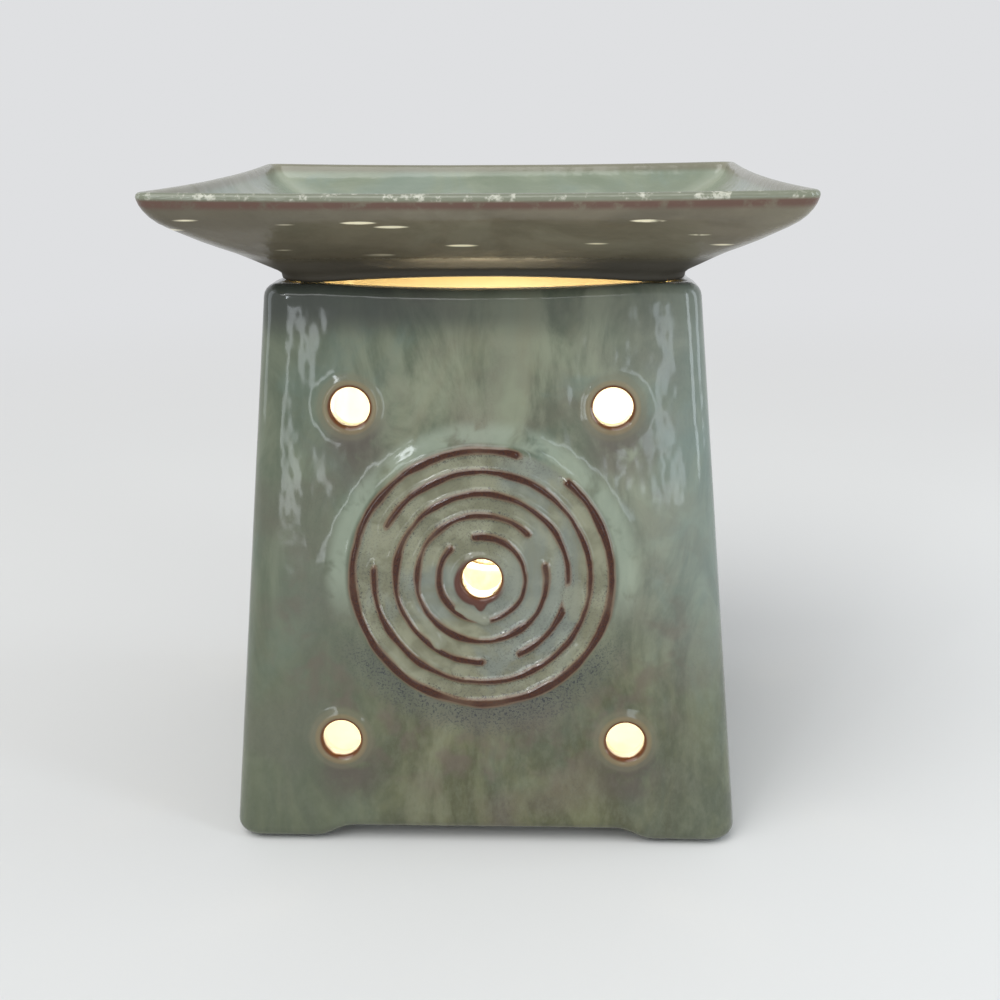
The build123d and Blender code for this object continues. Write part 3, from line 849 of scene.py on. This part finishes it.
def housing_glaze():
    """Glossy grey-green glaze with blue-grey, mauve and olive clouds, red-brown where it thins, and
    painted sheen, reflection and shade.
    """
    finish = new_finish("body_glaze")
    crest = finish.attribute("crest")
    lip = finish.attribute("lip")
    collar = finish.attribute("collar")
    mouth = finish.attribute("mouth")
    stain = finish.attribute("stain")
    run = finish.attribute("run")
    radius = finish.attribute("radius")
    across = finish.axis(0)
    level = finish.attribute("level")
    inside = finish.attribute("inside")
    even = finish.stretched(1, 1, 1)
    runs = finish.noise(finish.stretched(1, 1, 0.35), 0.07, 5.0, 0.6, 1.0)
    clouds = finish.noise(finish.stretched(1, 1, 0.6), 0.035, 5.0, 0.6, 0.8)
    mauve = finish.noise(finish.stretched(0.8, 0.8, 1), 0.04, 2.5, 0.5, 0.4)
    patchy = finish.noise(even, 0.16, 3.0, 0.5, 0.4)
    fine = finish.noise(finish.stretched(1, 1, 0.6), 0.45, 5.0, 0.7)
    grain = finish.noise(even, 1.8, 3.0, 0.8)
    specks = grain.soft(0.5, 0.63)

    # Grey-green clouds, lighter above the rings and olive towards the foot.
    upper = level.soft(-38, 10)
    low_tone = finish.blend(runs.soft(0.38, 0.64), colour(76, 77, 56), colour(101, 102, 75))
    high_tone = finish.blend(runs.soft(0.38, 0.64), colour(88, 96, 79), colour(129, 135, 114))
    tone = finish.blend(upper, low_tone, high_tone)
    tone = finish.blend(clouds.soft(0.5, 0.68) * (0.2 + 0.5 * upper), tone, colour(102, 121, 113))
    tone = finish.blend(clouds.soft(0.46, 0.3) * 0.5, tone, colour(130, 130, 106))
    muddy = mauve.soft(0.48, 0.7) * (0.6 - 0.3 * across.soft(5, 40))
    tone = finish.blend(muddy, tone, colour(102, 90, 82))
    tone = finish.blend(muddy * specks * 0.4, tone, colour(64, 62, 64))
    tone = finish.blend(fine.soft(0.35, 0.75) * 0.25, tone, colour(130, 134, 114))
    # Painted light and shade by side: a painted bluish sheen on the right, painted shade over the left,
    # and a painted pale sheen high on the right.
    tone = finish.blend(across.soft(36, 58) * (0.15 + 0.35 * upper), tone, colour(108, 127, 125))
    tone = finish.blend(across.soft(-10, -46) * 0.6, tone, colour(88, 97, 82))
    tone = finish.blend(across.soft(12, 44) * upper * 0.22, tone, colour(146, 152, 144))
    # Painted shadow along the shoulder under the dish, darkest at the left.
    shade = level.soft(57, 66)
    tone = finish.blend(shade * (0.85 - 0.5 * across.soft(-40, 45)), tone, colour(60, 64, 60))
    # Round the rings: a painted reflection makes the pad's edge pale above and at the sides; mauve
    # further out, dark and speckled below.
    around = radius.soft(36, 44) * radius.soft(66, 48)
    tone = finish.blend(around * patchy.soft(0.42, 0.7) * (0.6 - 0.4 * upper), tone, colour(98, 86, 78))
    painted_halo = radius.soft(33.4, 34.4) * radius.soft(40.5, 36.5) * level.soft(-16, 2)
    tone = finish.blend(painted_halo * patchy.soft(0.3, 0.52) * 0.6, tone, colour(148, 159, 142))
    band = radius.soft(33.2, 34.2) * radius.soft(44, 35) * level.soft(-10, -24)
    tone = finish.blend(band * 0.6, tone, colour(92, 95, 86))
    tone = finish.blend(band * specks * 0.85, tone, colour(44, 48, 56))
    # Valleys between the rings: pale grey-green and finely pitted, bluish in places.
    valley = radius.soft(33.4, 31.8)
    pale = finish.blend(patchy.soft(0.4, 0.62), colour(114, 113, 92), colour(136, 136, 114))
    tone = finish.blend(valley * 0.85, tone, pale)
    tone = finish.blend(valley * clouds.soft(0.46, 0.6) * 0.5, tone, colour(118, 128, 126))
    pitted = valley * specks * mauve.soft(0.34, 0.5) * (0.35 + 0.6 * crest.soft(0.0, 0.2))
    tone = finish.blend(pitted, tone, colour(66, 64, 66))
    # Iron shows where the glaze thins on crests and lips; thick runs hide it.
    bare = crest * (1 - 0.9 * run)
    thinned = finish.noise(even, 0.07, 3.0, 0.5)
    tone = finish.blend(bare.soft(0.25, 0.8) * 0.6, tone, colour(114, 82, 62))
    core = finish.blend(grain.soft(0.35, 0.7), colour(50, 21, 3), colour(72, 38, 13))
    tone = finish.blend((bare + 0.5 * (thinned - 0.5)).soft(0.72, 1.0), tone, core)
    tone = finish.blend(run * 0.7, tone, colour(128, 130, 112))
    tone = finish.blend(lip.soft(0.1, 0.8) * (1 - 0.5 * run), tone, colour(84, 52, 42))
    # The corner holes have a pale collar, an orange-brown mouth and a mauve stain below them.
    tone = finish.blend(stain * patchy.soft(0.25, 0.5) * 0.7, tone, colour(82, 72, 68))
    tone = finish.blend(collar.soft(0.0, 0.5) * 0.45, tone, colour(116, 112, 92))
    tone = finish.blend(collar.soft(0.72, 1.0) * 0.45, tone, colour(138, 116, 80))
    tone = finish.blend(mouth.soft(0.1, 0.7), tone, colour(96, 56, 26))
    clay = finish.noise(even, 0.2, 3.0)
    bisque = finish.blend(clay, colour(226, 222, 212), colour(238, 235, 226))
    # Painted shade: the inside darkens and warms towards the rim, dimming the glow in the gap under the
    # dish.
    bisque = finish.blend(level.soft(45, 66), bisque, colour(168, 150, 106))
    tone = finish.blend(inside.soft(0.15, 0.55), tone, bisque)
    ripple = finish.noise(finish.stretched(1, 1, 0.6), 0.055, 3.0, 0.5)
    return finish.surface({
        "Base Color": tone,
        "Roughness": 0.05 + 0.08 * fine + 0.3 * inside,
        "IOR": 1.46,
        "Normal": finish.bump(ripple, 0.6, 1.4),
    })


def dish_glaze():
    """Taupe glaze outside and celadon inside, with a red-brown line and a worn edge at the rim, painted
    glints, highlights and shade.
    """
    finish = new_finish("dish_glaze")
    below = finish.attribute("below")
    inside = finish.attribute("inside")
    crease_highlight = finish.attribute("crease_highlight")
    even = finish.stretched(1, 1, 1)
    runs = finish.noise(finish.stretched(0.3, 0.3, 1), 0.12, 5.0, 0.6, 0.5)
    grain = finish.noise(even, 0.7, 4.0, 0.65)
    clouds = finish.noise(even, 0.03, 5.0, 0.6, 0.6)
    broken = finish.noise(even, 0.22, 4.0, 0.65)
    tone = finish.blend(runs.soft(0.3, 0.7), colour(98, 91, 75), colour(116, 108, 90))
    tone = finish.blend(clouds.soft(0.42, 0.62) * 0.5, tone, colour(126, 121, 103))
    # Painted shade: darker down the outside towards the foot, darkest on the underside, and darker
    # towards the left.
    tone = finish.blend(below.soft(11, 19) * 0.6, tone, colour(76, 71, 60))
    tone = finish.blend(below.soft(15.5, 18.5) * 0.7, tone, colour(44, 41, 35))
    tone = finish.blend(finish.axis(0).soft(5, -60) * 0.5, tone, colour(68, 62, 48))
    # Painted glints: small warm reflections, drawn out along the rim.
    painted_glints = finish.scatter(finish.stretched(0.22, 0.22, 2.5), 0.22, 0.22) * clouds.soft(0.40, 0.45)
    tone = finish.blend(painted_glints * below.soft(4, 6) * below.soft(17, 13), tone, colour(252, 242, 208))
    # A red-brown line under the rim's pale, broken edge.
    band = below.soft(1.5, 2.2) * below.soft(4.4, 2.8)
    tone = finish.blend(band * broken.soft(0.24, 0.5) * 0.85, tone, colour(92, 62, 52))
    # The rim's edge: pale worn glaze, with whitish bits that are partly chips and partly painted
    # highlights.
    chips_and_highlights = broken.soft(0.5, 0.6) * grain.soft(0.42, 0.56)
    worn_edge_and_sheen = finish.blend(chips_and_highlights, colour(120, 124, 106), colour(186, 186, 170))
    tone = finish.blend(below.soft(2.0, 1.2), tone, worn_edge_and_sheen)
    # The bowl, with painted highlights along the creases of its slopes, and browner up to the rim.
    bowl = finish.blend(runs.soft(0.35, 0.7), colour(124, 134, 114), colour(144, 152, 132))
    bowl = finish.blend(clouds.soft(0.45, 0.6) * 0.4, bowl, colour(128, 144, 136))
    bowl = finish.blend(crease_highlight * below.soft(-17.5, -13) * 0.6, bowl, colour(178, 184, 164))
    bowl = finish.blend(below.soft(-3.4, -1.4) * 0.7, bowl, colour(124, 116, 98))
    tone = finish.blend(inside, tone, bowl)
    ripple = finish.noise(even, 0.1, 3.0, 0.5)
    return finish.surface({
        "Base Color": tone,
        "Roughness": 0.12 + 0.14 * grain + 0.5 * below.soft(16, 19) * (1 - inside),
        "IOR": 1.55,
        "Normal": finish.bump(ripple + 0.03 * grain, 0.5, 1.0),
    })


def plain_finish(name, first, second, roughness, metallic=0.0, scale=0.4, bump=0.1, extra=None):
    """A simple finish whose colour and gloss wander a little between two tones."""
    finish = new_finish(name)
    wander = finish.noise(finish.stretched(1, 1, 1), scale, 4.0, 0.6)
    inputs = {
        "Base Color": finish.blend(wander.soft(0.3, 0.7), first, second),
        "Roughness": roughness[0] + (roughness[1] - roughness[0]) * wander,
        "Metallic": metallic,
        "Normal": finish.bump(wander, bump, 0.2),
    }
    inputs.update(extra or {})
    return finish.surface(inputs)


def lit_glass():
    """Soft white glass, lit from inside."""
    finish = new_finish("bulb_glass")
    wander = finish.noise(finish.stretched(1, 1, 1), 0.06, 3.0, 0.5)
    warm = finish.blend(wander.soft(0.35, 0.65), colour(255, 238, 200), colour(255, 232, 186))
    return finish.surface({
        "Base Color": finish.blend(wander, colour(250, 244, 230), colour(255, 250, 240)),
        "Roughness": 0.25 + 0.1 * wander,
        "Emission Color": warm,
        "Emission Strength": 11.0,
    })


def glow_finish():
    """Glowing tungsten."""
    finish = new_finish("filament_glow")
    wander = finish.noise(finish.stretched(1, 1, 1), 0.8, 2.0, 0.5)
    return finish.surface({
        "Base Color": finish.blend(wander, colour(250, 210, 140), colour(255, 230, 170)),
        "Roughness": 0.4 + 0.1 * wander,
        "Emission Color": finish.blend(wander, colour(255, 190, 90), colour(255, 220, 140)),
        "Emission Strength": 12.0,
    })


finish_piece("housing_glazed", housing_mesh(), "housing", "body_glaze", housing_glaze(), "housing")
finish_piece("dish_glazed", dish_mesh(), "dish", "dish_glaze", dish_glaze(), "dish")

rubber = plain_finish(
    "pad_rubber", colour(52, 51, 50), colour(64, 62, 60), (0.7, 0.85), scale=1.2, bump=0.3
)
bush = plain_finish(
    "bush_rubber", colour(26, 26, 27), colour(38, 38, 38), (0.55, 0.75), scale=1.0, bump=0.25
)
zinc = plain_finish(
    "zinc_steel", colour(176, 176, 172), colour(204, 203, 196), (0.25, 0.42), 1.0, 0.5, 0.15
)
moulding = plain_finish(
    "holder_moulding", colour(30, 27, 26), colour(42, 38, 36), (0.35, 0.5), scale=0.9, bump=0.12
)
porcelain = plain_finish(
    "holder_porcelain", colour(226, 222, 210), colour(240, 237, 228), (0.12, 0.25), bump=0.06
)
brass = plain_finish(
    "contact_brass", colour(190, 150, 84), colour(214, 176, 106), (0.22, 0.38), 1.0, 0.6, 0.1
)
nickel = plain_finish(
    "cap_nickel", colour(186, 182, 174), colour(210, 207, 200), (0.2, 0.36), 1.0, 0.4, 0.12
)
vitreous = plain_finish(
    "cap_insulation", colour(14, 14, 18), colour(26, 26, 32), (0.08, 0.2), bump=0.1
)
solder = plain_finish(
    "tip_solder", colour(150, 150, 152), colour(184, 184, 184), (0.35, 0.5), 1.0, 1.0, 0.3
)
stem = plain_finish(
    "stem_glass", colour(232, 238, 238), colour(244, 248, 248), (0.03, 0.08), bump=0.02,
    extra={"Transmission Weight": 0.9, "IOR": 1.5},
)
lead = plain_finish(
    "lead_nickel", colour(150, 146, 140), colour(176, 172, 166), (0.3, 0.45), 1.0, 1.4, 0.1
)

FINISHES = {
    "foot_pad_1": rubber, "foot_pad_2": rubber, "foot_pad_3": rubber, "foot_pad_4": rubber,
    "cord_grommet": bush, "nipple": zinc, "lock_nut_upper": zinc, "lock_nut_lower": zinc,
    "washer_upper": zinc, "washer_lower": zinc, "holder_base": moulding, "holder_body": porcelain,
    "thread_shell": brass, "centre_contact": brass, "terminal_screw_shell": brass,
    "terminal_screw_contact": brass, "bulb_glass": lit_glass(), "bulb_cap": nickel,
    "cap_insulator": vitreous, "tip_contact": solder, "glass_stem": stem, "lead_wire_left": lead,
    "lead_wire_right": lead, "support_wire": lead, "filament": glow_finish(),
}
for name, material in FINISHES.items():
    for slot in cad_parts[name].material_slots:
        slot.material = material


def make_camera():
    """The camera stands where it stood for the photograph."""
    place = Vector((16.66, -381.93, 183.88)) * MM
    yaw, pitch, roll = radians(2.141), radians(16.059), radians(-0.375)
    ahead = Vector((-sin(yaw) * cos(pitch), cos(yaw) * cos(pitch), -sin(pitch)))
    right = Vector((cos(yaw), sin(yaw), 0))
    up = right.cross(ahead)
    across = right * cos(roll) + up * sin(roll)
    above = up * cos(roll) - right * sin(roll)
    data = bpy.data.cameras.new("camera")
    data.sensor_width = 36
    data.lens = 36 * 1377.7 / 1000
    data.clip_start = 0.01
    camera = bpy.data.objects.new("camera", data)
    camera.matrix_world = Matrix((
        (across.x, above.x, -ahead.x, place.x),
        (across.y, above.y, -ahead.y, place.y),
        (across.z, above.z, -ahead.z, place.z),
        (0, 0, 0, 1),
    ))
    bpy.context.collection.objects.link(camera)
    bpy.context.scene.camera = camera


def make_lamp(name, place, size, power, tint=(1, 1, 1), aim=(0, 0, 0.08)):
    """A rectangle of light, aimed at a place on the object; metres and watts."""
    data = bpy.data.lights.new(name, "AREA")
    data.shape = "RECTANGLE"
    data.size, data.size_y = size
    data.energy = power
    data.color = tint
    lamp = bpy.data.objects.new(name, data)
    lamp.location = place
    lamp.rotation_euler = (Vector(aim) - Vector(place)).to_track_quat("-Z", "Y").to_euler()
    bpy.context.collection.objects.link(lamp)


BACKDROP = colour(222, 223, 225)


def floor_finish():
    """A pale floor that takes the object's shadow and turns into the backdrop further away."""
    finish = new_finish("floor")
    wander = finish.noise(finish.stretched(1, 1, 1), 0.004, 3.0)
    near = finish.node("ShaderNodeBsdfPrincipled", {}, {
        "Base Color": finish.blend(wander, colour(218, 218, 217), colour(222, 222, 220)),
        "Roughness": 0.6 + 0.1 * wander,
        "Specular IOR Level": 0.2,
    })
    far = finish.node("ShaderNodeEmission", {}, {0: BACKDROP, 1: 1.0})
    away = finish.node("ShaderNodeVectorMath", {"operation": "LENGTH"}, {0: finish.spot()}, 1)
    return finish.end(finish.node("ShaderNodeMixShader", {}, {0: away.soft(0.3, 1.0), 1: near, 2: far}))


def make_stage():
    """A plain pale floor under an even pale room."""
    bm = bmesh.new()
    bmesh.ops.create_grid(bm, x_segments=2, y_segments=2, size=30.0)
    mesh = bpy.data.meshes.new("floor")
    bm.to_mesh(mesh)
    bm.free()
    ground = bpy.data.objects.new("floor", mesh)
    bpy.context.collection.objects.link(ground)
    mesh.materials.append(floor_finish())

    # The room's light is plain; the camera, gloss and glass see the pale backdrop instead.
    world = bpy.data.worlds.new("room")
    bpy.context.scene.world = world
    room = Finish(world)
    camera, glossy, through = (
        room.node("ShaderNodeLightPath", {}, {}, f"Is {kind} Ray")
        for kind in ("Camera", "Glossy", "Transmission")
    )
    seen = room.node(
        "ShaderNodeMath", {"operation": "ADD", "use_clamp": True}, {0: camera + glossy, 1: through}
    )
    plain = room.node("ShaderNodeBackground", {}, {0: (0.98, 0.99, 1.0, 1), 1: 0.55})
    pale = room.node("ShaderNodeBackground", {}, {0: BACKDROP, 1: 1.0})
    either = room.node("ShaderNodeMixShader", {}, {0: seen, 1: plain, 2: pale})
    room.end(either, "ShaderNodeOutputWorld")


def make_sun():
    """Wide, soft daylight from high up at the front left."""
    data = bpy.data.lights.new("daylight", "SUN")
    data.energy = 1.5
    data.angle = radians(50)
    sun = bpy.data.objects.new("daylight", data)
    sun.rotation_euler = Vector((0.42, 0.62, -1.0)).to_track_quat("-Z", "Y").to_euler()
    bpy.context.collection.objects.link(sun)


make_camera()
make_sun()
# Narrow panes before the front give the glaze its streaks; wide ones at the sides light its edges.
make_lamp(
    "window_left", (-0.165, -0.60, 0.10), (0.036, 0.18),
    0.09, (0.9, 0.96, 1.0), (-0.04, -0.06, 0.1),
)
make_lamp(
    "window_front", (0.096, -0.60, 0.13), (0.036, 0.18),
    0.07, (0.80, 0.90, 1.0), (0.04, -0.06, 0.1),
)
make_lamp(
    "window_pane", (-0.22, -0.62, 0.34), (0.05, 0.14),
    0.3, (0.9, 0.95, 1.0), (-0.03, -0.05, 0.09),
)
make_lamp("glint", (-0.28, -0.48, 0.48), (0.025, 0.025), 0.14)
make_lamp("window_right", (0.50, -0.34, 0.30), (0.12, 0.5), 0.9, (0.84, 0.92, 1.0))
make_lamp("window_far_right", (0.70, 0.05, 0.30), (0.22, 0.5), 0.95, (0.84, 0.92, 1.0))
make_lamp("window_far_left", (-0.7, 0.0, 0.30), (0.25, 0.5), 0.6, (0.86, 0.93, 1.0))
make_stage()
bpy.context.scene.view_settings.view_transform = "Standard"
